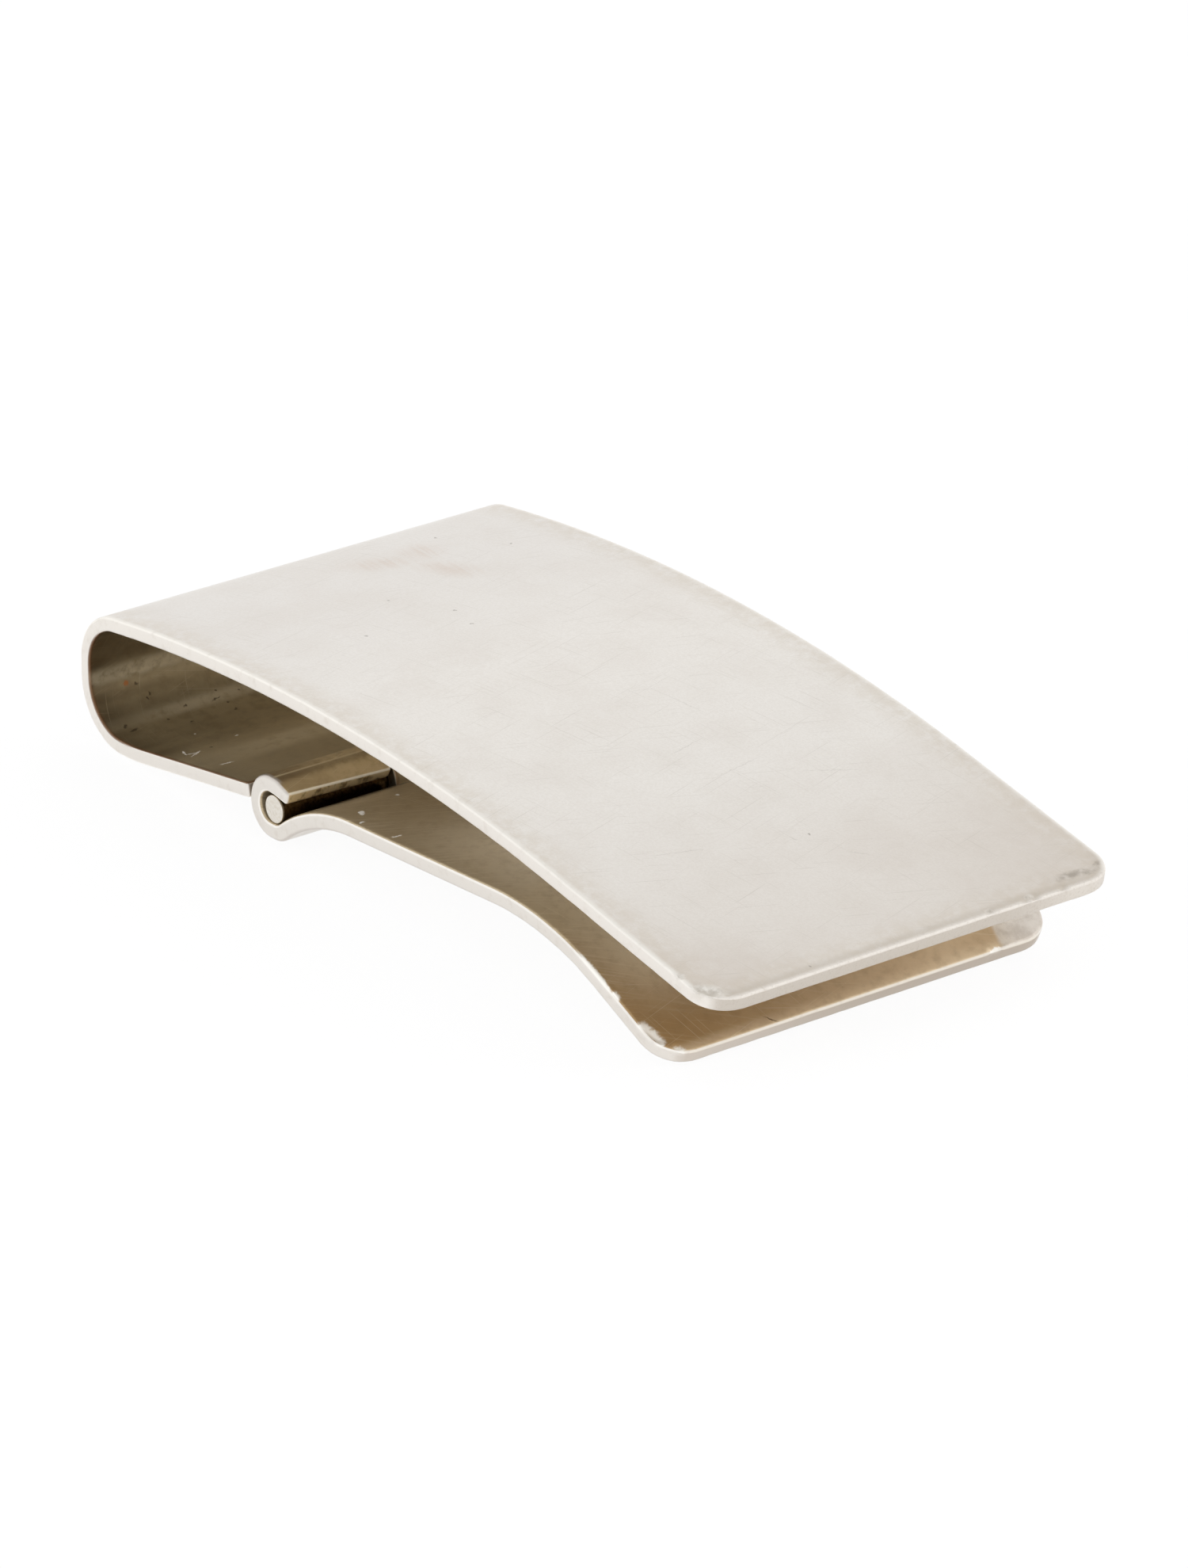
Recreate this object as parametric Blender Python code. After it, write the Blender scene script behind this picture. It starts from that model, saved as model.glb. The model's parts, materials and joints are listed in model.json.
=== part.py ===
"""Hinged money clip: a spring body bent from one silver strip, a clip leaf and the pin that joins them."""

from math import acos, atan2, ceil, cos, radians, sin

import bmesh
import bpy
from mathutils import Matrix, Vector

MM = 0.001

# Driving dimensions, in millimetres and degrees

CLIP_WIDTH = 25.4
CORNER_RADIUS = 2.0
SHEET_EDGE_ROUND = 0.18

BODY_SHEET = 0.8
FACE_FRONT_RUN = 12.2
FACE_FRONT_TILT = 10.6
FACE_CROWN_RADIUS = 121.0
FACE_BACK_TILT = 8.0
BOW_RADIUS = 3.0
BOW_BACK_RUN = 0.75
HEEL_RADIUS = 14.0
RETURN_RUN = 9.78
RETURN_TILT = 8.7
RETURN_RISE = 0.61

LEAF_SHEET = 0.9
LEAF_NECK_TILT = 38.5
LEAF_HUMP_RADIUS = 10.0
LEAF_RUN = 12.0
LEAF_TILT = 2.9
LIP_BEND_RADIUS = 17.8
LIP_TILT = 25.0
LIP_RUN = 5.95
LEAF_TAPER = 0.9

PIN_DIAMETER = 1.5
PIN_INSET = 0.05
PIN_END_ROUND = 0.08
PIN_BODY_CLEARANCE = 0.04
PIN_LEAF_CLEARANCE = 0.05
LEAF_KNUCKLE_LENGTH = 6.5
LEAF_ROLL_PLAY = 0.35
LEAF_ROLL_END = 85.0
LEAF_TIP_RUN = 1.2
LEAF_TIP_SHEET = 0.55
BODY_ROLL_END = -145.0
BODY_TIP_RUN = 0.3
KNUCKLE_GAP = 0.1
TONGUE_RELIEF = 0.15

# Fineness of the curves

BEND_STEP = radians(9.0)
LONGEST_CHORD = 2.6
CORNER_SEGMENTS = 6
EDGE_SEGMENTS = 2
EDGE_ANGLE = radians(50.0)
PIN_SIDES = 48
SEATING_ROUNDS = 6

# Sizes that follow from the driving dimensions

HALF_WIDTH = CLIP_WIDTH / 2
LIP_WIDTH = CLIP_WIDTH - LEAF_TAPER
SLOT_HALF_WIDTH = HALF_WIDTH - LEAF_KNUCKLE_LENGTH
TONGUE_HALF_WIDTH = SLOT_HALF_WIDTH - KNUCKLE_GAP
PIN_RADIUS = PIN_DIAMETER / 2
BODY_ROLL_RADIUS = PIN_RADIUS + PIN_BODY_CLEARANCE + BODY_SHEET / 2
LEAF_ROLL_RADIUS = PIN_RADIUS + PIN_LEAF_CLEARANCE + LEAF_SHEET / 2
BODY_ROLL_OUTSIDE = BODY_ROLL_RADIUS + BODY_SHEET / 2
LEAF_ROLL_OUTSIDE = LEAF_ROLL_RADIUS + LEAF_SHEET / 2


def heading_vector(heading):
    return Vector((cos(heading), sin(heading)))


class Centreline:
    """The middle of a bent strip in the side view, walked as straight runs and arcs.

    Points are (x, z) from the pin's axis. A heading of 0 points to the front, and it grows upwards.
    """

    def __init__(self, point, heading):
        self.point = Vector(point)
        self.heading = heading
        self.stations = [self.point.copy()]

    def step(self, chord, turn):
        """Goes one chord on, with half of the turn before it and half after it."""
        self.point = self.point + chord * heading_vector(self.heading + turn / 2)
        self.heading += turn
        self.stations.append(self.point.copy())

    def run(self, length):
        self.step(length, 0.0)

    def bend(self, radius, heading):
        """Follows an arc until the strip has the given heading."""
        turn = heading - self.heading
        steps = max(ceil(abs(turn) / BEND_STEP), ceil(abs(turn) * radius / LONGEST_CHORD))
        chord = 2 * radius * sin(abs(turn) / steps / 2)
        for _ in range(steps):
            self.step(chord, turn / steps)


def body_lines():
    """The body's full-width strip, from its edge behind the hinge to the front, and its hinge tongue."""
    tilt = radians(RETURN_TILT)
    along = heading_vector(tilt)
    upward = Vector((-along.y, along.x))
    edge_distance = LEAF_ROLL_PLAY * cos(tilt) + LEAF_ROLL_OUTSIDE + KNUCKLE_GAP
    edge = RETURN_RISE * upward - edge_distance * along

    strip = Centreline(edge, tilt + radians(180))
    strip.run(RETURN_RUN)
    strip.bend(HEEL_RADIUS, radians(180))
    strip.bend(BOW_RADIUS, radians(90))
    strip.run(BOW_BACK_RUN)
    strip.bend(BOW_RADIUS, radians(FACE_BACK_TILT))
    strip.bend(FACE_CROWN_RADIUS, -radians(FACE_FRONT_TILT))
    strip.run(FACE_FRONT_RUN)

    # The tongue swings up off the return on the one arc that meets the roll round the pin smoothly
    reach = edge_distance - TONGUE_RELIEF
    swing_radius = (reach ** 2 / (BODY_ROLL_RADIUS - RETURN_RISE) - BODY_ROLL_RADIUS - RETURN_RISE) / 2
    swing = acos((RETURN_RISE + swing_radius) / (BODY_ROLL_RADIUS + swing_radius))
    tongue = Centreline(edge, tilt)
    tongue.run(TONGUE_RELIEF)
    tongue.bend(swing_radius, tilt + swing)
    tongue.bend(BODY_ROLL_RADIUS, radians(BODY_ROLL_END - 90))
    tongue.run(BODY_TIP_RUN)
    return strip.stations, tongue.stations


def leaf_lines():
    """The leaf's full-width strip, from the slot for the body's knuckle to the lip, and its rolled knuckles."""
    neck = radians(LEAF_NECK_TILT)
    hump_centre = (LEAF_HUMP_RADIUS + LEAF_ROLL_RADIUS) * Vector((sin(neck), -cos(neck)))

    # The slot ends where the upper face of the hump clears the body's knuckle
    centre_reach = hump_centre.length
    face_radius = LEAF_HUMP_RADIUS + LEAF_SHEET / 2
    clear_radius = BODY_ROLL_OUTSIDE + KNUCKLE_GAP
    slot_turn = acos((centre_reach ** 2 + face_radius ** 2 - clear_radius ** 2) / (2 * centre_reach * face_radius))
    slot_heading = neck - slot_turn
    slot_edge = hump_centre + LEAF_HUMP_RADIUS * Vector((-sin(slot_heading), cos(slot_heading)))

    strip = Centreline(slot_edge, slot_heading)
    strip.bend(LEAF_HUMP_RADIUS, radians(LEAF_TILT))
    strip.run(LEAF_RUN)
    strip.bend(LIP_BEND_RADIUS, -radians(LIP_TILT))
    strip.run(LIP_RUN)

    # The roll goes back under the pin, up behind it and over it, and its tip lies on the pin and looks to the front
    roll = Centreline(slot_edge, slot_heading + radians(180))
    roll.bend(LEAF_HUMP_RADIUS, neck + radians(180))
    roll.bend(LEAF_ROLL_RADIUS, radians(180))
    roll.run(LEAF_ROLL_PLAY)
    roll.bend(LEAF_ROLL_RADIUS, 0.0)
    roll.run(LEAF_ROLL_PLAY)
    roll.bend(LEAF_ROLL_RADIUS, radians(LEAF_ROLL_END - 90))
    roll.run(LEAF_TIP_RUN)
    return strip.stations, roll.stations


def pull_edges(mesh, edges, stations, narrowing=0.0):
    """Extrudes a row of edges from station to station, evenly narrower, and returns the last row."""
    total = sum((end - start).length for start, end in zip(stations, stations[1:]))
    share = 1.0
    for start, end in zip(stations, stations[1:]):
        pulled = bmesh.ops.extrude_edge_only(mesh, edges=edges)["geom"]
        verts = [item for item in pulled if isinstance(item, bmesh.types.BMVert)]
        move = (end - start) * MM
        next_share = share - narrowing * (end - start).length / total
        bmesh.ops.translate(mesh, verts=verts, vec=(move.x, 0.0, move.y))
        bmesh.ops.scale(mesh, verts=verts, vec=(1.0, next_share / share, 1.0))
        share = next_share
        edges = [item for item in pulled if isinstance(item, bmesh.types.BMEdge)]
    return edges


def bent_sheet(name, lines, inner_half_width, front_width, rolled_spans, sheet, tip_sheet, material):
    """Makes a sheet-metal piece: a full-width strip, with some of its three spans rolled round the pin.

    Each roll thins over its last run, to the tip's own thickness.
    """
    strip, roll = lines
    start = strip[0] * MM
    mesh = bmesh.new()
    row = [
        mesh.verts.new((start.x, across * MM, start.y))
        for across in (-HALF_WIDTH, -inner_half_width, inner_half_width, HALF_WIDTH)
    ]
    spans = [mesh.edges.new(pair) for pair in zip(row, row[1:])]
    front = pull_edges(mesh, spans, strip, 1.0 - front_width / CLIP_WIDTH)
    tips = pull_edges(mesh, [spans[index] for index in rolled_spans], roll)

    # The two front corners are rounded in the flat of the sheet
    ends = {vert for edge in front for vert in edge.verts}
    corners = [vert for vert in ends if len(vert.link_edges) == 2]
    bmesh.ops.bevel(
        mesh, geom=corners, offset=CORNER_RADIUS * MM, segments=CORNER_SEGMENTS, profile=0.5,
        affect="VERTICES", material=-1,
    )
    bmesh.ops.recalc_face_normals(mesh, faces=mesh.faces)
    fullness = mesh.verts.layers.deform.verify()
    thinned = {vert for edge in tips for vert in edge.verts}
    for vert in mesh.verts:
        vert[fullness][0] = 0.0 if vert in thinned else 1.0
    piece = add_piece(name, mesh, material)

    thickness = piece.modifiers.new("sheet", "SOLIDIFY")
    thickness.thickness = sheet * MM
    thickness.offset = 0.0
    thickness.use_even_offset = True
    thickness.vertex_group = piece.vertex_groups.new(name="full_sheet").name
    thickness.thickness_vertex_group = tip_sheet / sheet
    rounding = piece.modifiers.new("edge_round", "BEVEL")
    rounding.width = SHEET_EDGE_ROUND * MM
    rounding.segments = EDGE_SEGMENTS
    rounding.limit_method = "ANGLE"
    rounding.angle_limit = EDGE_ANGLE
    return piece


def hinge_pin(material):
    """A plain round pin across the clip, flush with the edges, with its ends eased."""
    mesh = bmesh.new()
    length = (CLIP_WIDTH - 2 * PIN_INSET) * MM
    bmesh.ops.create_cone(
        mesh, cap_ends=True, segments=PIN_SIDES, radius1=PIN_RADIUS * MM, radius2=PIN_RADIUS * MM, depth=length,
        matrix=Matrix.Rotation(radians(90), 4, "X"),
    )
    rims = [edge for edge in mesh.edges if abs(edge.verts[0].co.y - edge.verts[1].co.y) < length / 2]
    bmesh.ops.bevel(
        mesh, geom=rims, offset=PIN_END_ROUND * MM, segments=EDGE_SEGMENTS, profile=0.5,
        affect="EDGES", material=-1,
    )
    return add_piece("hinge_pin", mesh, material)


def add_piece(name, mesh, material):
    """Turns a finished bmesh into a named object whose origin is on the pin's axis."""
    data = bpy.data.meshes.new(name)
    mesh.to_mesh(data)
    mesh.free()
    data.materials.append(material)
    data.shade_smooth()
    data.set_sharp_from_angle(angle=EDGE_ANGLE)
    piece = bpy.data.objects.new(name, data)
    bpy.context.scene.collection.objects.link(piece)
    return piece


def silver(name, colour, roughness):
    material = bpy.data.materials.new(name)
    material.use_nodes = True
    shader = material.node_tree.nodes["Principled BSDF"]
    shader.inputs["Base Color"].default_value = (*colour, 1.0)
    shader.inputs["Metallic"].default_value = 1.0
    shader.inputs["Roughness"].default_value = roughness
    return material


def finished_points(piece):
    """The piece's points with its modifiers, from the pin's axis."""
    graph = bpy.context.evaluated_depsgraph_get()
    evaluated = piece.evaluated_get(graph)
    points = [vert.co.copy() for vert in evaluated.to_mesh().vertices]
    evaluated.to_mesh_clear()
    return points


def seat_on_table(body, leaf, clip):
    """Tilts and places the clip so that it stands on its bow and its lip, centred over the origin."""
    turn = Matrix.Identity(3)
    tilt = 0.0
    body_points = finished_points(body)
    leaf_points = finished_points(leaf)
    for _ in range(SEATING_ROUNDS):
        bow_foot = min((turn @ point for point in body_points), key=lambda point: point.z)
        lip_foot = min((turn @ point for point in leaf_points if point.x > 0), key=lambda point: point.z)
        tilt += atan2(lip_foot.z - bow_foot.z, lip_foot.x - bow_foot.x)
        turn = Matrix.Rotation(tilt, 3, "Y")
    seated = [turn @ point for point in body_points + leaf_points]
    lengths = [point.x for point in seated]
    clip.rotation_euler = (0.0, tilt, 0.0)
    clip.location = (-(min(lengths) + max(lengths)) / 2, 0.0, -min(point.z for point in seated))


def build():
    for old in list(bpy.data.objects):
        bpy.data.objects.remove(old)
    body = bent_sheet(
        "spring_body", body_lines(), TONGUE_HALF_WIDTH, CLIP_WIDTH, [1], BODY_SHEET, BODY_SHEET,
        silver("satin_silver", (0.83, 0.80, 0.76), 0.32),
    )
    leaf = bent_sheet(
        "clip_leaf", leaf_lines(), SLOT_HALF_WIDTH, LIP_WIDTH, [0, 2], LEAF_SHEET, LEAF_TIP_SHEET,
        silver("worn_silver", (0.78, 0.74, 0.68), 0.28),
    )
    pin = hinge_pin(silver("pin_silver", (0.85, 0.83, 0.80), 0.25))
    clip = bpy.data.objects.new("clip", None)
    bpy.context.scene.collection.objects.link(clip)
    seat_on_table(body, leaf, clip)
    for piece in (body, leaf, pin):
        piece.parent = clip


build()
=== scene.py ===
"""Looks of the hinged money clip: worn satin silver outside, tarnished inside, on a white table."""

import json
from math import acos, ceil, copysign, cos, hypot, radians, sin

import bmesh
import bpy
from mathutils import Matrix, Vector, noise
from mathutils.kdtree import KDTree


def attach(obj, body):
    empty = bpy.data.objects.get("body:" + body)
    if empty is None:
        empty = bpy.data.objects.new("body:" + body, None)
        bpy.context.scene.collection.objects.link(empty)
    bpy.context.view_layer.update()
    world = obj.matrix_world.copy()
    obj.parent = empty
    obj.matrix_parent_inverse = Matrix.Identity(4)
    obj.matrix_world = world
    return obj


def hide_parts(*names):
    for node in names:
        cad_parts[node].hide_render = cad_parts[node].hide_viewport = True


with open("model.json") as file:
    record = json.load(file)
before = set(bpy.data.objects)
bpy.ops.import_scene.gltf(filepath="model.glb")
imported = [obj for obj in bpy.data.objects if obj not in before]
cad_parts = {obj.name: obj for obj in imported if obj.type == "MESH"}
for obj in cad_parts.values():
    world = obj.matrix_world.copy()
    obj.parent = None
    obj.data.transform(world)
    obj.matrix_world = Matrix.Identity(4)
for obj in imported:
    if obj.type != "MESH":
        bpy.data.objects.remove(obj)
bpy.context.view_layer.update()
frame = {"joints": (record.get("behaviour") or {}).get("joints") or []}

# Sizes of the bent strips, in millimetres and degrees

MM = 0.001
CLIP_WIDTH = 25.4
CORNER_RADIUS = 2.0

BODY_SHEET = 0.8
FACE_FRONT_RUN = 12.2
FACE_FRONT_TILT = 10.6
FACE_CROWN_RADIUS = 121.0
FACE_BACK_TILT = 8.0
BOW_RADIUS = 3.0
BOW_BACK_RUN = 0.75
HEEL_RADIUS = 14.0
RETURN_RUN = 9.78
RETURN_TILT = 8.7
RETURN_RISE = 0.61

LEAF_SHEET = 0.9
LEAF_NECK_TILT = 38.5
LEAF_HUMP_RADIUS = 10.0
LEAF_RUN = 12.0
LEAF_TILT = 2.9
LIP_BEND_RADIUS = 17.8
LIP_TILT = 25.0
LIP_RUN = 5.95
LEAF_TAPER = 0.9

PIN_DIAMETER = 1.5
PIN_INSET = 0.05
PIN_END_ROUND = 0.08
PIN_BODY_CLEARANCE = 0.04
PIN_LEAF_CLEARANCE = 0.05
LEAF_KNUCKLE_LENGTH = 6.5
LEAF_ROLL_PLAY = 0.35
LEAF_ROLL_END = 76.0
LEAF_TIP_RUN = 1.0
LEAF_TIP_SHEET = 0.72
LEAF_TIP_DIP = 0.25
BODY_ROLL_END = -145.0
BODY_TIP_RUN = 0.3
KNUCKLE_GAP = 0.1
TONGUE_RELIEF = 0.15

HALF_WIDTH = CLIP_WIDTH / 2
SLOT_HALF_WIDTH = HALF_WIDTH - LEAF_KNUCKLE_LENGTH
TONGUE_HALF_WIDTH = SLOT_HALF_WIDTH - KNUCKLE_GAP
PIN_RADIUS = PIN_DIAMETER / 2
BODY_ROLL_RADIUS = PIN_RADIUS + PIN_BODY_CLEARANCE + BODY_SHEET / 2
LEAF_ROLL_RADIUS = PIN_RADIUS + PIN_LEAF_CLEARANCE + LEAF_SHEET / 2
BODY_ROLL_OUTSIDE = BODY_ROLL_RADIUS + BODY_SHEET / 2
LEAF_ROLL_OUTSIDE = LEAF_ROLL_RADIUS + LEAF_SHEET / 2

# How fine the surfaces are, in millimetres and degrees

GRID = 0.4
FINEST_TURN = radians(4.0)
EDGE_ROUND = 0.2
EDGE_SEGMENTS = 4
EDGE_ANGLE = radians(50.0)
PIN_SIDES = 96
WAVE_HEIGHT = 0.006
WAVE_LENGTH = 6.0
RIM_WEAR = 0.03
RIM_WEAR_LENGTH = 0.9
NICK_REACH = 1.2
SHORTEST_EDGE = 0.001

# Dents in the rims: place along and across the blank, radius and depth, in millimetres

BODY_NICKS = (
    (70.3, -12.6, 0.45, 0.1),
    (71.6, -12.5, 0.5, 0.12),
    (72.2, -12.1, 0.55, 0.12),
    (72.6, -11.4, 0.4, 0.08),
    (72.96, 4.5, 0.4, 0.1),
    (72.96, 6.75, 0.4, 0.12),
    (72.96, 7.3, 0.4, 0.14),
    (72.96, 9.1, 0.35, 0.12),
)
LEAF_NICKS = (
    (26.9, -12.35, 0.5, 0.1),
    (29.3, -12.2, 0.55, 0.12),
    (29.8, -12.0, 0.55, 0.16),
    (30.2, -11.9, 0.45, 0.1),
    (31.0, -11.3, 0.4, 0.1),
    (31.4, 8.1, 0.4, 0.1),
    (31.4, 8.5, 0.35, 0.1),
)

# Where the clip sits: its pin is the joint's axis, and it leans a little to stand on its bow and its lip

HINGE = Vector(frame["joints"][0]["pos_m"])
SEAT_TILT = radians(-1.1737)
SEAT = Matrix.Translation(HINGE) @ Matrix.Rotation(SEAT_TILT, 4, "Y") @ Matrix.Scale(MM, 4)

# The photograph's viewpoint, in millimetres and degrees

CAMERA_AZIMUTH = radians(53.113)
CAMERA_ELEVATION = radians(24.746)
CAMERA_ROLL = radians(0.221)
CAMERA_DISTANCE = 465.0
CAMERA_AIM = Vector((0.948, -0.23, 4.0))
CAMERA_LENS = 211.1
NEAREST_SEEN = 0.01

# The white stage, in metres

WHITE = (1.0, 1.0, 1.0, 1.0)
BACKDROP_STRENGTH = 1.02
TABLE_HALF_SIZE = 3.0
TABLE_DROP = 0.0001
LAMP_DISTANCE = 0.7
LAMP_SIZE = 0.45

# The metal's finish, with the height of its grain in millimetres

SATIN_ROUGHNESS = 0.36
RIM_ROUGHNESS = 0.42
TARNISH_METALLIC = 0.55
GRAIN_HEIGHT = 0.0012


class Strip:
    """The middle of a sheet, drawn out from a row of edges in straight runs and round bends.

    Points are (x, z) in millimetres from the pin's axis. A heading of 0 points to the front, and it grows
    upwards. Each vertex keeps its place on the flat blank: how far along the strip and across it lies.
    """

    def __init__(self, mesh, row, point, heading, sense=1.0):
        self.mesh = mesh
        self.blank = mesh.verts.layers.float_vector["blank"]
        self.row = row
        self.point = Vector(point)
        self.heading = heading
        self.sense = sense
        self.along = 0.0

    def direction(self):
        return Vector((cos(self.heading), sin(self.heading)))

    def keep(self, pulled, length):
        """Makes the newest edges the strip's end, and notes where their vertices lie on the blank."""
        self.row = [item for item in pulled if isinstance(item, bmesh.types.BMEdge)]
        self.along += length * self.sense
        for item in pulled:
            if isinstance(item, bmesh.types.BMVert):
                item[self.blank] = (self.along, item.co.y, 0.0)

    def run(self, length):
        steps = ceil(length / GRID)
        step = length / steps * self.direction()
        for _ in range(steps):
            pulled = bmesh.ops.extrude_edge_only(self.mesh, edges=self.row)["geom"]
            verts = [item for item in pulled if isinstance(item, bmesh.types.BMVert)]
            bmesh.ops.translate(self.mesh, verts=verts, vec=(step.x, 0.0, step.y))
            self.keep(pulled, length / steps)
        self.point += length * self.direction()

    def bend(self, radius, heading):
        """Follows an arc until the strip has the given heading."""
        turn = heading - self.heading
        steps = max(ceil(abs(turn) * radius / GRID), ceil(abs(turn) / FINEST_TURN))
        side = copysign(radius, turn)
        centre = self.point + side * Vector((-sin(self.heading), cos(self.heading)))
        for _ in range(steps):
            pulled = bmesh.ops.spin(
                self.mesh, geom=self.row, cent=(centre.x, 0.0, centre.y), axis=(0.0, -1.0, 0.0),
                angle=turn / steps, steps=1,
            )["geom_last"]
            self.keep(pulled, abs(turn) * radius / steps)
        self.heading = heading
        self.point = centre - side * Vector((-sin(heading), cos(heading)))


def first_row(mesh, point, inner_half_width):
    """Starts a strip with a row of edges across the clip, in an outer, an inner and another outer span."""
    blank = mesh.verts.layers.float_vector.new("blank")
    outer_width = HALF_WIDTH - inner_half_width
    end = mesh.verts.new((point.x, -HALF_WIDTH, point.y))
    spans = []
    for width in (outer_width, 2 * inner_half_width, outer_width):
        steps = ceil(width / GRID)
        span = []
        for _ in range(steps):
            pulled = bmesh.ops.extrude_vert_indiv(mesh, verts=[end])
            end = pulled["verts"][0]
            bmesh.ops.translate(mesh, verts=[end], vec=(0.0, width / steps, 0.0))
            span += pulled["edges"]
        spans.append(span)
    for vert in mesh.verts:
        vert[blank] = (0.0, vert.co.y, 0.0)
    return spans


def round_front_corners(mesh, strip, half_width):
    """Draws the strip's two square front corners in to a round one, in the flat of the sheet."""
    corner_start = strip.along - CORNER_RADIUS
    corner_side = half_width - CORNER_RADIUS
    forward = strip.direction()
    for vert in mesh.verts:
        along, across, _ = vert[strip.blank]
        ahead = along - corner_start
        beside = abs(across) - corner_side
        if ahead > 0 and beside > 0:
            drawn_in = max(ahead, beside) / hypot(ahead, beside)
            back = (drawn_in - 1.0) * ahead
            vert.co.x += back * forward.x
            vert.co.z += back * forward.y
            vert.co.y = copysign(corner_side + drawn_in * beside, across)
            vert[strip.blank] = (along + back, vert.co.y, 0.0)


def measure_insets(mesh):
    """Notes how far each vertex lies from the nearest edge of the blank."""
    blank = mesh.verts.layers.float_vector["blank"]
    rim = [vert for vert in mesh.verts if vert.is_boundary]
    tree = KDTree(len(rim))
    for index, vert in enumerate(rim):
        tree.insert(vert[blank], index)
    tree.balance()
    insets = [tree.find(vert[blank])[2] for vert in mesh.verts]
    for vert, inset in zip(mesh.verts, insets):
        vert[blank] = (vert[blank].x, vert[blank].y, inset)


def face_front_outwards(mesh, strip, outwards):
    """Turns all faces so that the sheet's outside looks outwards at its front end."""
    bmesh.ops.recalc_face_normals(mesh, faces=mesh.faces)
    front_face = strip.row[0].link_faces[0]
    if front_face.normal.dot(outwards) < 0:
        bmesh.ops.reverse_faces(mesh, faces=mesh.faces)


def wave(mesh):
    """Gives the middle of the sheet the slight unevenness of hand-bent metal."""
    mesh.normal_update()
    for vert in mesh.verts:
        vert.co += WAVE_HEIGHT * noise.noise(vert.co / WAVE_LENGTH) * vert.normal


def spring_body():
    """One strip: the return, the bow and the face plate, and the tongue rolled over the pin."""
    tilt = radians(RETURN_TILT)
    along = Vector((cos(tilt), sin(tilt)))
    upward = Vector((-sin(tilt), cos(tilt)))
    edge_distance = LEAF_ROLL_PLAY * cos(tilt) + LEAF_ROLL_OUTSIDE + KNUCKLE_GAP
    edge = RETURN_RISE * upward - edge_distance * along

    mesh = bmesh.new()
    spans = first_row(mesh, edge, TONGUE_HALF_WIDTH)
    strip = Strip(mesh, sum(spans, []), edge, tilt + radians(180))
    strip.run(RETURN_RUN)
    strip.bend(HEEL_RADIUS, radians(180))
    strip.bend(BOW_RADIUS, radians(90))
    strip.run(BOW_BACK_RUN)
    strip.bend(BOW_RADIUS, radians(FACE_BACK_TILT))
    strip.bend(FACE_CROWN_RADIUS, -radians(FACE_FRONT_TILT))
    strip.run(FACE_FRONT_RUN)

    # The tongue swings up off the return on the one arc that meets the roll round the pin smoothly
    reach = edge_distance - TONGUE_RELIEF
    swing_radius = (reach ** 2 / (BODY_ROLL_RADIUS - RETURN_RISE) - BODY_ROLL_RADIUS - RETURN_RISE) / 2
    swing = acos((RETURN_RISE + swing_radius) / (BODY_ROLL_RADIUS + swing_radius))
    tongue = Strip(mesh, spans[1], edge, tilt, sense=-1.0)
    tongue.run(TONGUE_RELIEF)
    tongue.bend(swing_radius, tilt + swing)
    tongue.bend(BODY_ROLL_RADIUS, radians(BODY_ROLL_END - 90))
    tongue.run(BODY_TIP_RUN)

    round_front_corners(mesh, strip, HALF_WIDTH)
    measure_insets(mesh)
    face_front_outwards(mesh, strip, Vector((0.0, 0.0, 1.0)))
    wave(mesh)
    thin_tips(mesh, tongue.along, BODY_TIP_RUN)
    return sheet_piece("silver_body", mesh, BODY_SHEET, BODY_SHEET, 1.0, BODY_NICKS)


def clip_leaf():
    """The second strip: the hump, the flat run and the lip, with two knuckles rolled round the pin."""
    neck = radians(LEAF_NECK_TILT)
    hump_centre = (LEAF_HUMP_RADIUS + LEAF_ROLL_RADIUS) * Vector((sin(neck), -cos(neck)))

    # The slot ends where the upper face of the hump clears the body's knuckle
    centre_reach = hump_centre.length
    face_radius = LEAF_HUMP_RADIUS + LEAF_SHEET / 2
    clear_radius = BODY_ROLL_OUTSIDE + KNUCKLE_GAP
    cosine = (centre_reach ** 2 + face_radius ** 2 - clear_radius ** 2) / (2 * centre_reach * face_radius)
    slot_heading = neck - acos(cosine)
    slot_edge = hump_centre + LEAF_HUMP_RADIUS * Vector((-sin(slot_heading), cos(slot_heading)))

    mesh = bmesh.new()
    spans = first_row(mesh, slot_edge, SLOT_HALF_WIDTH)
    strip = Strip(mesh, sum(spans, []), slot_edge, slot_heading)
    strip.bend(LEAF_HUMP_RADIUS, radians(LEAF_TILT))
    strip.run(LEAF_RUN)
    strip.bend(LIP_BEND_RADIUS, -radians(LIP_TILT))
    strip.run(LIP_RUN)

    # Each roll goes back under the pin, up behind it and over it, and its tip looks to the front
    for span in (spans[0], spans[2]):
        roll = Strip(mesh, span, slot_edge, slot_heading + radians(180), sense=-1.0)
        roll.bend(LEAF_HUMP_RADIUS, neck + radians(180))
        roll.bend(LEAF_ROLL_RADIUS, radians(180))
        roll.run(LEAF_ROLL_PLAY)
        roll.bend(LEAF_ROLL_RADIUS, 0.0)
        roll.run(LEAF_ROLL_PLAY)
        roll.bend(LEAF_ROLL_RADIUS, radians(LEAF_ROLL_END - 90))
        roll.run(LEAF_TIP_RUN)

    dip_tips(mesh, roll)
    taper_towards_lip(mesh, strip)
    round_front_corners(mesh, strip, HALF_WIDTH - LEAF_TAPER / 2)
    measure_insets(mesh)
    face_front_outwards(mesh, strip, Vector((0.0, 0.0, -1.0)))
    wave(mesh)
    thin_tips(mesh, roll.along, LEAF_TIP_RUN)
    return sheet_piece("silver_leaf", mesh, LEAF_SHEET, LEAF_TIP_SHEET, -1.0, LEAF_NICKS)


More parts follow.
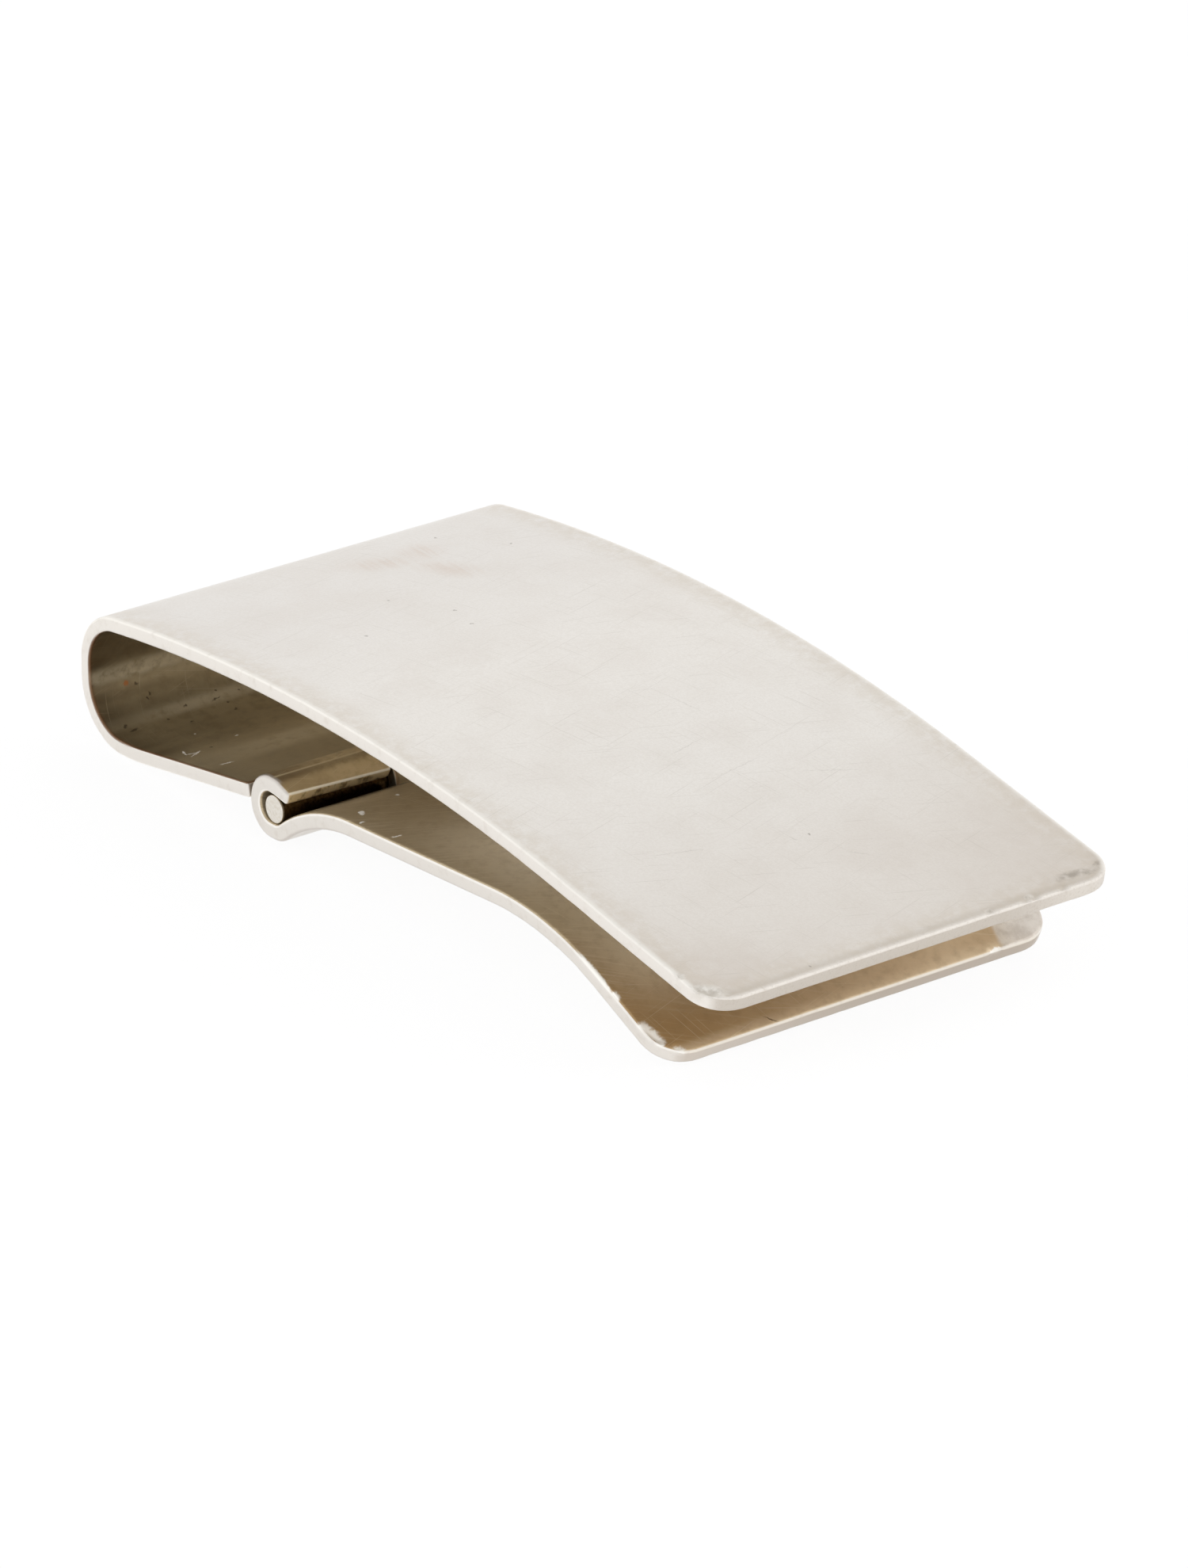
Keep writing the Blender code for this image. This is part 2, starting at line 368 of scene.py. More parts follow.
def dip_tips(mesh, roll):
    """Lets the two rolled tips hang lower at their inner ends, as they do where the hand has bent them."""
    for vert in mesh.verts:
        along, across, _ = vert[roll.blank]
        tipped = max(0.0, 1.0 - (along - roll.along) / LEAF_TIP_RUN)
        inward = (HALF_WIDTH - abs(across)) / LEAF_KNUCKLE_LENGTH
        vert.co.z -= LEAF_TIP_DIP * inward * tipped


def taper_towards_lip(mesh, strip):
    """Narrows the leaf evenly from its slot to its front edge."""
    for vert in mesh.verts:
        along, across, _ = vert[strip.blank]
        if along > 0:
            vert.co.y = across * (1.0 - LEAF_TAPER / CLIP_WIDTH * along / strip.along)
            vert[strip.blank] = (along, vert.co.y, 0.0)


def thin_tips(mesh, tip, length):
    """Notes how full the sheet is: it thins evenly over the given length before its rolled tips."""
    blank = mesh.verts.layers.float_vector["blank"]
    fullness = mesh.verts.layers.deform.verify()
    for vert in mesh.verts:
        vert[fullness][0] = min(1.0, (vert[blank].x - tip) / length)


def sheet_piece(name, mesh, sheet, tip_sheet, worn_side, nicks):
    """Gives the drawn-out middle its thickness, its rounded rim and its wear.

    Each vertex then knows which way it faces: 1 on the sheet's outside, 0 on its rim and -1 on its inner
    side, the lining.
    """
    outwards = mesh.verts.layers.float_vector.new("outwards")
    mesh.normal_update()
    for vert in mesh.verts:
        vert[outwards] = vert.normal
    piece = new_piece(name, mesh)
    full_sheet = piece.vertex_groups.new(name="full_sheet")
    thickness = piece.modifiers.new("sheet", "SOLIDIFY")
    thickness.thickness = sheet
    thickness.offset = 0.0
    thickness.use_even_offset = True
    thickness.vertex_group = full_sheet.name
    thickness.thickness_vertex_group = tip_sheet / sheet
    rounding = piece.modifiers.new("rim", "BEVEL")
    rounding.width = EDGE_ROUND
    rounding.segments = EDGE_SEGMENTS
    rounding.limit_method = "ANGLE"
    rounding.angle_limit = EDGE_ANGLE

    solid = bmesh.new()
    solid.from_object(piece, bpy.context.evaluated_depsgraph_get())
    bmesh.ops.dissolve_degenerate(solid, dist=SHORTEST_EDGE, edges=solid.edges)
    piece.modifiers.clear()
    piece.vertex_groups.clear()
    solid.verts.layers.deform.remove(solid.verts.layers.deform.active)
    facing = solid.verts.layers.float.new("facing")
    outwards = solid.verts.layers.float_vector["outwards"]
    solid.normal_update()
    for vert in solid.verts:
        vert[facing] = vert.normal.dot(vert[outwards])
    solid.verts.layers.float_vector.remove(outwards)
    wear_rim(solid)
    nick_rim(solid, nicks, worn_side)
    return set_down(piece, solid)


def wear_rim(mesh):
    """Takes a little off the rim, unevenly, as years in a pocket do."""
    blank = mesh.verts.layers.float_vector["blank"]
    mesh.normal_update()
    for vert in mesh.verts:
        if vert[blank].z == 0:
            taken_off = max(0.0, noise.noise(vert.co / RIM_WEAR_LENGTH))
            vert.co -= RIM_WEAR * taken_off * vert.normal


def nick_rim(mesh, nicks, worn_side):
    """Presses dents into one side of the sheet along its rim, where its faces are first made finer."""
    blank = mesh.verts.layers.float_vector["blank"]
    facing = mesh.verts.layers.float["facing"]

    def nearness(vert, along, across, reach):
        """1 in the middle of a dent, and 0 or less out of its reach."""
        return 1.0 - hypot(vert[blank].x - along, vert[blank].y - across) / reach

    around = {
        vert for vert in mesh.verts
        if vert[blank].z < NICK_REACH
        and any(nearness(vert, *place, 2 * radius) > 0 for *place, radius, _ in nicks)
    }
    edges = [edge for edge in mesh.edges if around.issuperset(edge.verts)]
    bmesh.ops.subdivide_edges(mesh, edges=edges, cuts=2, use_grid_fill=True)
    mesh.normal_update()
    for vert in mesh.verts:
        if vert[blank].z < NICK_REACH:
            exposed = min(1.0, max(0.0, 0.5 + worn_side * vert[facing]))
            for *place, radius, depth in nicks:
                near = max(0.0, nearness(vert, *place, radius))
                vert.co -= depth * exposed * near ** 2 * (3.0 - 2.0 * near) * vert.normal


def hinge_pin():
    """A plain round wire through the knuckles, with its ends eased."""
    mesh = bmesh.new()
    length = CLIP_WIDTH - 2 * PIN_INSET
    bmesh.ops.create_cone(
        mesh, cap_ends=True, segments=PIN_SIDES, radius1=PIN_RADIUS, radius2=PIN_RADIUS, depth=length,
        matrix=Matrix.Rotation(radians(90), 4, "X"),
    )
    rims = [edge for edge in mesh.edges if abs(edge.verts[0].co.y - edge.verts[1].co.y) < length / 2]
    bmesh.ops.bevel(
        mesh, geom=rims, offset=PIN_END_ROUND, segments=EDGE_SEGMENTS, profile=0.5, affect="EDGES",
        material=-1,
    )
    return set_down(new_piece("silver_pin", bmesh.new()), mesh)


def new_piece(name, mesh):
    """Makes an object of a bmesh in millimetres round the pin's axis."""
    data = bpy.data.meshes.new(name)
    mesh.to_mesh(data)
    mesh.free()
    piece = bpy.data.objects.new(name, data)
    bpy.context.scene.collection.objects.link(piece)
    bpy.context.view_layer.update()
    return piece


def set_down(piece, mesh):
    """Puts a finished bmesh, in millimetres round the pin's axis, into its piece, at its place."""
    bmesh.ops.transform(mesh, matrix=SEAT, verts=mesh.verts)
    mesh.to_mesh(piece.data)
    mesh.free()
    piece.data.shade_smooth()
    piece.data.set_sharp_from_angle(angle=EDGE_ANGLE)
    return piece


class Socket:
    """A node's output. Arithmetic on it adds Math nodes to the same tree."""

    def __init__(self, nodes, socket):
        self.nodes = nodes
        self.socket = socket

    def math(self, operation, *values):
        return self.nodes.add("ShaderNodeMath", {"operation": operation}, dict(enumerate(values)))

    def __add__(self, other):
        return self.math("ADD", self, other)

    def __radd__(self, other):
        return self.math("ADD", other, self)

    def __sub__(self, other):
        return self.math("SUBTRACT", self, other)

    def __rsub__(self, other):
        return self.math("SUBTRACT", other, self)

    def __mul__(self, other):
        return self.math("MULTIPLY", self, other)

    def __rmul__(self, other):
        return self.math("MULTIPLY", other, self)

    def __abs__(self):
        return self.math("ABSOLUTE", self)

    def siblings(self):
        """All outputs of the same node."""
        return [Socket(self.nodes, socket) for socket in self.socket.node.outputs]

    def least(self, other):
        return self.math("MINIMUM", self, other)

    def most(self, other):
        return self.math("MAXIMUM", self, other)

    def rise(self, low, high):
        """Goes smoothly from 0 at low to 1 at high, or the other way round where low is the greater."""
        return self.nodes.add(
            "ShaderNodeMapRange", {"interpolation_type": "SMOOTHSTEP"}, {"Value": self, 1: low, 2: high},
        )


class Nodes:
    """A node tree whose nodes are added one by one."""

    def __init__(self, tree):
        self.tree = tree

    def add(self, kind, settings, inputs, output=0):
        """Adds a node: its settings first, then the values or links of its sockets."""
        node = self.tree.nodes.new(kind)
        for name, value in settings.items():
            setattr(node, name, value)
        for key, value in inputs.items():
            self.feed(node.inputs[key], value)
        return Socket(self, node.outputs[output])

    def feed(self, target, value):
        if isinstance(value, Socket):
            self.tree.links.new(value.socket, target)
        else:
            target.default_value = value

    def ray(self, kind):
        """1 for the rays of one kind, and 0 for all others."""
        return self.add("ShaderNodeLightPath", {}, {}, output=f"Is {kind} Ray")

    def blend(self, share, first, second):
        """A colour that is the first where the share is 0 and the second where it is 1."""
        return self.add("ShaderNodeMix", {"data_type": "RGBA"}, {0: share, 6: first, 7: second}, output=2)

    def between(self, share, first, second):
        """A number that is the first where the share is 0 and the second where it is 1."""
        return self.add("ShaderNodeMix", {}, {0: share, 2: first, 3: second})


class Finish(Nodes):
    """A material."""

    def __init__(self, name):
        self.material = bpy.data.materials.new(name)
        self.material.use_nodes = True
        super().__init__(self.material.node_tree)
        self.shader = self.tree.nodes["Principled BSDF"]

    def place(self):
        """The point on the piece in millimetres."""
        metres = self.add("ShaderNodeTexCoord", {}, {}, output="Object")
        return self.add("ShaderNodeVectorMath", {"operation": "SCALE"}, {0: metres, "Scale": 1 / MM})

    def vector(self, operation, *values):
        return self.add("ShaderNodeVectorMath", {"operation": operation}, dict(enumerate(values)))

    def noise(self, place, scale, detail=2.0, roughness=0.5):
        return self.add(
            "ShaderNodeTexNoise", {},
            {"Vector": place, "Scale": scale, "Detail": detail, "Roughness": roughness},
        )


def colour(red, green, blue):
    """A colour as a screen shows it, from 0 to 255, as the light that it stands for."""
    shown = (red / 255, green / 255, blue / 255)
    return (*(part / 12.92 if part <= 0.04045 else ((part + 0.055) / 1.055) ** 2.4 for part in shown), 1.0)


class SheetFinish(Finish):
    """The finish of a bent sheet, which knows where each point lies on the sheet's flat blank."""

    def __init__(self, name):
        super().__init__(name)
        blank = self.add("ShaderNodeAttribute", {"attribute_name": "blank"}, {}, output="Vector")
        self.along, self.across, self.inset = self.add("ShaderNodeSeparateXYZ", {}, {0: blank}).siblings()
        self.flat = self.vector("MULTIPLY", blank, (1.0, 1.0, 0.0))
        self.facing = self.add("ShaderNodeAttribute", {"attribute_name": "facing"}, {}, output="Fac")
        self.inside = self.facing.rise(0.1, -0.1)
        self.at = self.place()
        ragged = self.add(
            "ShaderNodeTexNoise", {}, {"Vector": self.at, "Scale": 5.0, "Detail": 2.0}, output="Color",
        )
        pushed = self.vector("SUBTRACT", ragged, (0.5, 0.5, 0.5))
        self.ragged = self.vector("MULTIPLY_ADD", pushed, (0.3, 0.3, 0.0), self.flat)
        self.grain = self.noise(self.at, 8.0, detail=3.0, roughness=0.6)
        self.cloud = self.noise(self.at, 0.25, detail=3.0)
        self.mottle = self.noise(self.at, 1.6, detail=4.0, roughness=0.6)
        self.hairlines = self.scratches()

    def mark(self, along, across, turn, length, width, soft=0.6):
        """A ragged oval: its middle and size on the blank in millimetres, and its turn in degrees."""
        centred = self.add(
            "ShaderNodeMapping", {"vector_type": "TEXTURE"},
            {
                "Vector": self.ragged,
                "Location": (along, across, 0.0),
                "Rotation": (0.0, 0.0, radians(turn)),
                "Scale": (length / 2, width / 2, 1.0),
            },
        )
        reach = self.add("ShaderNodeVectorMath", {"operation": "LENGTH"}, {0: centred}, output="Value")
        return reach.rise(1.0, 1.0 - soft)

    def marks(self, ovals, soft=0.6):
        """Several oval marks as one."""
        spread = self.mark(*ovals[0], soft=soft)
        for oval in ovals[1:]:
            spread = spread.most(self.mark(*oval, soft=soft))
        return spread

    def streaks(self, turn, length, width, detail=1.0):
        """Noise drawn out in one direction on the blank, in degrees and millimetres."""
        drawn = self.add(
            "ShaderNodeMapping", {"vector_type": "TEXTURE"},
            {"Vector": self.flat, "Rotation": (0.0, 0.0, radians(turn)), "Scale": (length, width, 1.0)},
        )
        return self.noise(drawn, 1.0, detail=detail)

    def scratches(self):
        """Fine hairlines in three directions."""
        fine = self.streaks(12.0, 5.0, 0.06).rise(0.67, 0.75)
        fine = fine.most(self.streaks(106.0, 7.0, 0.06).rise(0.68, 0.76))
        return fine.most(self.streaks(70.0, 4.0, 0.06).rise(0.68, 0.76))

    def rim(self):
        """Where the rim's metal shows: it runs out softly on the outside, and stops short of the lining."""
        return self.between(self.inside, self.inset.rise(0.38, 0.06), self.facing.rise(-0.75, -0.6))

    def complete(self, face, bright, rim, dull, lacklustre, dusty, lining_roughness):
        """Joins the face and the bright rim, and sets how metallic, how rough and how uneven they are."""
        self.feed(self.shader.inputs["Base Color"], self.blend(rim, face, bright))
        tarnished = TARNISH_METALLIC - 0.35 * dusty
        self.feed(self.shader.inputs["Metallic"], self.between(lacklustre, 1.0, tarnished))
        rough = self.between(dull, SATIN_ROUGHNESS, lining_roughness) + 0.1 * (self.grain - 0.5)
        rough = self.between(rim, rough, RIM_ROUGHNESS) + 0.06 * self.hairlines
        self.feed(self.shader.inputs["Roughness"], rough)
        height = self.grain - 0.6 * self.hairlines
        raised = self.add(
            "ShaderNodeBump", {}, {"Strength": 1.0, "Distance": GRAIN_HEIGHT * MM, "Height": height},
        )
        self.feed(self.shader.inputs["Normal"], raised)


def satin_silver():
    """The body: satin silver outside, brown tarnish on the lining with painted shade and reflections, and
    bright worn rims with painted highlights and shade.
    """
    finish = SheetFinish("satin_silver")
    along, across, inset = finish.along, finish.across, finish.inset
    grain, cloud, mottle, hairlines = finish.grain, finish.cloud, finish.mottle, finish.hairlines

    # The satin face: duller over the bow, with a warm film at its front corners and round its rim
    satin = finish.blend(along.rise(24.0, 46.0), colour(240, 236, 231), colour(249, 245, 239))
    satin = finish.blend(0.2 * grain.rise(0.3, 0.7), satin, colour(218, 210, 200))
    far_corner = along.rise(56.0, 73.0) * across.rise(0.0, 12.0)
    near_corner = along.rise(64.0, 73.0) * across.rise(-5.0, -12.0)
    film = 0.18 * cloud.rise(0.35, 0.75) + 0.32 * along.rise(56.0, 72.0)
    film = film + 0.38 * far_corner + 0.32 * near_corner
    satin = finish.blend(film.least(1.0) * (0.75 + 0.5 * mottle), satin, colour(222, 212, 201))
    edge_film = inset.rise(2.4, 0.3) * mottle.rise(0.25, 0.65)
    satin = finish.blend(0.38 * edge_film, satin, colour(218, 206, 188))
    front_film = inset.rise(0.9, 0.4) * along.rise(70.5, 72.0)
    satin = finish.blend(0.45 * front_film, satin, colour(204, 194, 180))
    satin = finish.blend(0.4 * hairlines, satin, colour(208, 202, 192))
    thumb = finish.marks((
        (28.6, 4.0, 20.0, 6.5, 3.0), (25.2, 4.6, -10.0, 4.6, 3.4), (25.2, 2.0, 60.0, 6.0, 3.4),
    ), soft=1.0)
    ridges = finish.streaks(-12.0, 6.0, 0.28).rise(0.4, 0.6)
    satin = finish.blend(0.28 * thumb * (0.45 + 0.55 * ridges), satin, colour(210, 182, 160))
    specks = finish.marks((
        (27.6, 8.7, 0.0, 0.24, 0.2), (23.7, 6.6, 0.0, 0.26, 0.2), (33.96, 0.46, 30.0, 0.24, 0.18),
        (36.0, 0.0, 0.0, 0.22, 0.18), (30.4, -1.2, 0.0, 0.28, 0.16), (33.9, -5.1, 0.0, 0.24, 0.2),
        (72.6, -6.4, 0.0, 0.2, 0.16), (63.2, 0.8, 0.0, 0.2, 0.16),
    ))
    satin = finish.blend(0.5 * specks, satin, colour(122, 112, 98))
    cuts = finish.marks((
        (65.7, 2.0, 45.0, 1.6, 0.1), (63.1, -0.2, 28.0, 1.0, 0.09), (44.8, 11.2, 10.0, 1.8, 0.1),
        (53.6, 0.4, 104.0, 3.2, 0.09), (56.5, 1.5, 100.0, 5.0, 0.08), (59.0, 5.5, 65.0, 4.0, 0.08),
        (49.5, 3.0, 12.0, 5.0, 0.08), (61.5, -6.0, 75.0, 4.0, 0.08),
    ))
    satin = finish.blend(0.2 * cuts, satin, colour(172, 165, 154))
    grime = finish.marks((
        (72.2, 10.3, 88.0, 4.0, 0.9), (72.35, 11.1, 84.0, 2.0, 0.6), (72.0, 12.0, 120.0, 1.2, 0.5),
    ), soft=1.0)
    satin = finish.blend(0.55 * grime * (0.2 + 0.8 * mottle.rise(0.35, 0.6)), satin, colour(140, 131, 119))

    # The tarnished lining: painted shade, darkest at the near side and up in the bend of the bow, and
    # painted reflections in light streaks and bands across it
    streaks = finish.streaks(90.0, 14.0, 1.1, detail=2.0)
    # Painted light and shade: dark at the near side and light towards the far side, where the light comes in
    depth = 0.45 * across.rise(-12.7, -10.2) + 0.55 * across.rise(-11.0, -1.0)
    tarnish = finish.blend(depth, colour(96, 81, 57), colour(186, 168, 132))
    # Painted reflections: lighter streaks across the lining
    tarnish = finish.blend(0.25 * streaks.rise(0.3, 0.7), tarnish, colour(190, 172, 136))
    tarnish = finish.blend(0.35 * mottle.rise(0.4, 0.75), tarnish, colour(104, 86, 58))
    tarnish = finish.blend(0.3 * along.rise(9.0, 6.0), tarnish, colour(224, 206, 170))
    # Painted shade: darker up in the bend of the bow
    tarnish = finish.blend(0.5 * along.rise(16.9, 17.5), tarnish, colour(84, 64, 36))
    # Painted reflections: light bands across the return, the heel and the bow
    return_sheen = along.rise(3.2, 4.4) * along.rise(6.6, 5.6)
    heel_sheen = along.rise(12.5, 13.1) * along.rise(14.0, 13.4)
    bow_sheen = along.rise(15.8, 16.3) * along.rise(17.2, 16.6)
    sheens = 0.8 * heel_sheen.most(return_sheen) * (0.2 + 0.8 * across.rise(-11.8, -6.5))
    sheens = sheens.most(bow_sheen * (0.7 + 0.3 * across.rise(-11.8, -9.5)))
    tarnish = finish.blend(0.65 * sheens * mottle.rise(0.2, 0.6), tarnish, colour(240, 226, 194))
    under_plate = finish.blend(mottle.rise(0.4, 0.75), colour(224, 214, 198), colour(212, 200, 180))
    tarnish = finish.blend(along.rise(21.0, 27.0), tarnish, under_plate)
    tarnish = finish.blend(0.35 * hairlines, tarnish, colour(205, 190, 160))

    # What lies on the lining: specks, one rust spot, bits of lint, and a brown line along its edge
    pits = finish.marks((
        (15.5, -9.9, 0.0, 0.28, 0.24), (14.7, -9.3, 20.0, 0.32, 0.22), (14.45, -9.5, 0.0, 0.24, 0.2),
        (13.25, -7.7, 60.0, 0.34, 0.22), (13.7, -5.55, 0.0, 0.24, 0.2), (13.25, -4.3, 0.0, 0.24, 0.2),
        (13.1, -5.85, 75.0, 0.8, 0.14), (12.5, -5.4, 0.0, 0.22, 0.2), (11.55, -5.5, 40.0, 0.5, 0.24),
        (13.0, -11.65, 45.0, 0.6, 0.3), (12.5, -11.4, 70.0, 0.75, 0.3), (7.0, -10.15, 0.0, 0.3, 0.24),
        (11.55, -8.3, 70.0, 0.4, 0.2), (12.55, -9.2, 0.0, 0.28, 0.2),
    ))
    tarnish = finish.blend(0.7 * pits, tarnish, colour(60, 44, 24))
    tarnish = finish.blend(0.8 * finish.mark(15.7, -10.5, 0.0, 0.5, 0.4), tarnish, colour(176, 106, 52))
    lint = finish.marks((
        (9.8, -9.3, 0.0, 0.22, 0.2), (7.65, -8.1, 0.0, 0.24, 0.22), (6.7, -11.3, 60.0, 1.3, 0.14),
        (7.3, -11.65, 20.0, 1.0, 0.13), (6.9, -11.5, 110.0, 0.7, 0.12), (3.9, -11.25, 100.0, 1.0, 0.15),
    ), soft=0.4)
    tarnish = finish.blend(0.9 * lint, tarnish, colour(244, 239, 230))
    seam = inset.rise(0.3, 0.05) * along.rise(22.0, 19.0)
    tarnish = finish.blend(0.7 * seam, tarnish, colour(112, 72, 42))

    # The rims: painted highlights on the crests, painted shade on the front's face, knuckle ends painted
    # dark as shade, and bare metal in the dents
    crest = finish.facing.rise(0.1, 0.5)
    # Painted highlight: the crest is lighter than the rest of the rim
    side_rim = finish.blend(crest, colour(243, 238, 231), colour(254, 250, 243))
    # The front's face is painted darker, as shade, below a painted highlight on its crest
    front_rim = finish.blend(crest, colour(210, 202, 192), colour(246, 240, 232))
    front_rim = finish.blend(0.6 * across.rise(5.0, 11.0), front_rim, colour(240, 234, 226))
    front_rim = finish.blend(0.3 * grain.rise(0.5, 0.75), front_rim, colour(176, 163, 146))
    bright = finish.blend(along.rise(72.2, 72.8), side_rim, front_rim)
    bright = finish.blend(0.3 * mottle.rise(0.5, 0.8), bright, colour(206, 196, 183))
    # Painted shade: the rims of the rolled tongue are darker, in the narrow gaps between the knuckles
    bright = finish.blend(along.rise(-0.1, -0.6), bright, colour(168, 158, 140))
    chips = finish.marks((
        (70.3, -12.5, 0.0, 0.7, 0.5), (71.6, -12.3, 25.0, 1.0, 0.8), (72.2, -11.8, 40.0, 0.9, 0.7),
        (72.75, 7.1, 90.0, 0.7, 0.5), (72.8, 4.5, 90.0, 0.6, 0.4), (72.0, -12.0, 45.0, 2.4, 1.2),
    ), soft=0.7) * finish.facing.rise(-0.2, 0.2)
    bright = finish.blend(0.8 * chips * mottle.rise(0.3, 0.6), bright, colour(202, 194, 182))

    browned = finish.facing.rise(-0.2, -0.5) * along.rise(10.0, 12.0) * along.rise(21.0, 19.0)
    rim = finish.rim().most(chips) * (1.0 - 0.8 * browned)
    dull = finish.inside
    face = finish.blend(dull, satin, tarnish)
    finish.complete(face, bright, rim, dull, dull * (1.0 - rim), lint, lining_roughness=0.33)
    return finish.material


def worn_silver():
    """The leaf: brown tarnish on top and over its knuckles with painted light and shade, a bared far corner,
    and bright worn rims with painted highlights and shade.
    """
    finish = SheetFinish("worn_silver")
    along, across, inset = finish.along, finish.across, finish.inset
    grain, cloud, mottle, hairlines = finish.grain, finish.cloud, finish.mottle, finish.hairlines

    satin = finish.blend(grain.rise(0.3, 0.7), colour(240, 236, 231), colour(232, 227, 220))
    satin = finish.blend(0.4 * cloud.rise(0.35, 0.75), satin, colour(224, 216, 205))
    satin = finish.blend(0.4 * hairlines, satin, colour(209, 203, 194))

    # The tarnished upper side, with painted light: a painted reflection band across the run, and a lip
    # painted lighter towards its far corner and at its front edge
    tarnish = finish.blend(along.rise(20.0, 28.0), colour(184, 166, 134), colour(172, 141, 99))
    # Painted reflection: a light band across the run
    run_reflection = across.rise(-13.4, -8.3) * along.rise(5.0, 13.0) * along.rise(30.0, 24.0)
    tarnish = finish.blend(run_reflection, tarnish, colour(253, 241, 215))
    # Painted light: the lip lighter towards its far corner
    lip_far_light = 0.84 * across.rise(-12.0, 5.0) * along.rise(25.0, 29.0) * (1.0 - 0.5 * across.rise(5.0, 9.0))
    tarnish = finish.blend(lip_far_light, tarnish, colour(233, 213, 184))
    # Painted light: a lighter strip along the lip's front edge
    tarnish = finish.blend(0.4 * along.rise(30.6, 31.2), tarnish, colour(246, 228, 198))
    tarnish = finish.blend(0.3 * mottle.rise(0.4, 0.8), tarnish, colour(150, 124, 88))
    brushed = finish.streaks(58.0, 5.0, 0.16, detail=2.0)
    brushed = (0.3 - 0.2 * along.rise(25.0, 28.0)) * brushed.rise(0.5, 0.7)
    tarnish = finish.blend(brushed, tarnish, colour(232, 218, 192))
    tarnish = finish.blend(0.45 * hairlines, tarnish, colour(232, 219, 194))

    # What lies on it: painted shade in the hinge's recess, lint, one hair, and a bared far corner
    # Painted shade: dark in the recess before the two knuckles
    hinge_shade = along.rise(1.9, 1.1) * abs(across).rise(11.9, 10.8) * abs(across).rise(5.8, 6.6)
    tarnish = finish.blend(0.85 * hinge_shade, tarnish, colour(56, 43, 26))
    lint = finish.marks((
        (4.45, -11.45, 150.0, 0.8, 0.34), (5.5, -12.2, 100.0, 0.5, 0.24), (8.2, -11.95, 75.0, 0.8, 0.2),
        (3.5, -8.5, 0.0, 0.34, 0.28),
    ), soft=0.4)
    tarnish = finish.blend(lint, tarnish, colour(250, 247, 240))
    hair = finish.mark(31.1, -5.6, 48.0, 1.0, 0.12)
    tarnish = finish.blend(0.8 * hair, tarnish, colour(84, 62, 40))
    bared = (across + 0.3 * (mottle - 0.5) + 0.26 * (along - 30.4)).rise(8.75, 9.05) * along.rise(26.5, 28.5)
    bare = finish.blend(mottle.rise(0.35, 0.7), colour(232, 224, 214), colour(210, 200, 189))
    tarnish = finish.blend(bared, tarnish, bare)

    # The rolls: olive over the top, lighter towards the far end, with a painted dark reflection line and a
    # painted glint before each tip
    rolled = along.rise(-3.4, -5.0) * finish.facing.rise(-0.6, -0.3)
    olive = finish.blend(across.rise(-12.6, -8.0), colour(126, 107, 78), colour(194, 171, 130))
    olive = finish.blend(0.45 * mottle.rise(0.4, 0.7), olive, colour(112, 90, 58))
    olive = finish.blend(0.5 * hairlines, olive, colour(222, 205, 170))
    # Painted shade: a dark line where the roll mirrors the dark gap
    olive = finish.blend(0.35 * along.rise(-6.7, -6.85) * along.rise(-7.3, -7.0), olive, colour(90, 70, 40))
    olive = finish.blend(0.35 * along.rise(-7.0, -7.5), olive, colour(216, 188, 140))
    # Painted highlight: a thin glint along the roll's top
    glint = along.rise(-6.6, -6.66) * along.rise(-6.82, -6.74)
    olive = finish.blend(0.5 * glint, olive, colour(214, 196, 158))
    tarnish = finish.blend(rolled, tarnish, olive)

    # The rims: a light face with a painted highlight on its crest, painted shade on the front's face and on
    # their lower side, and olive ends on the two rolls with painted highlights on their crests
    front = along.rise(31.0, 31.4)
    # Painted highlight on the crest, and painted shade on the front's face
    crest = finish.facing.rise(-0.1, -0.4)
    underneath = finish.facing.rise(0.1, 0.8)
    front_shade_and_highlight = finish.blend(across.rise(-11.0, 2.0), colour(218, 209, 199), colour(202, 191, 179))
    front_shade_and_highlight = finish.blend(crest, front_shade_and_highlight, colour(246, 239, 228))
    bright = finish.blend(crest, colour(238, 233, 226), colour(254, 250, 244))
    bright = finish.blend(front, bright, front_shade_and_highlight)
    # Painted shade: the rim's lower side is darker, most at the front
    shaded_lower_rim = finish.blend(front, colour(216, 209, 202), colour(182, 171, 158))
    bright = finish.blend(underneath, bright, shaded_lower_rim)
    bright = finish.blend(0.3 * mottle.rise(0.5, 0.8), bright, colour(206, 195, 182))
    tip = along.rise(-7.0, -7.6) * abs(across).rise(12.65, 12.5)
    # Painted highlight: a light line on the crests of the roll ends
    tip_crest = finish.facing.rise(0.25, 0.5) * finish.facing.rise(0.95, 0.75)
    tip_face = finish.blend(mottle.rise(0.45, 0.65), colour(214, 188, 140), colour(132, 108, 70))
    tip_end = finish.blend(tip_crest, tip_face, colour(250, 240, 216))
    bright = finish.blend(tip, bright, tip_end)
    chips = finish.marks((
        (25.2, -12.32, 0.0, 3.8, 0.5), (26.9, -12.25, 0.0, 0.8, 0.6), (29.3, -12.1, 10.0, 1.2, 1.0),
        (29.8, -11.95, 15.0, 1.0, 0.9), (30.25, -11.85, 20.0, 0.8, 0.8), (31.1, -11.2, 45.0, 0.8, 0.6),
        (31.4, 8.3, 90.0, 0.9, 0.5),
    ), soft=0.5) * finish.facing.rise(0.0, -0.3)
    bright = finish.blend(chips, bright, colour(250, 247, 241))

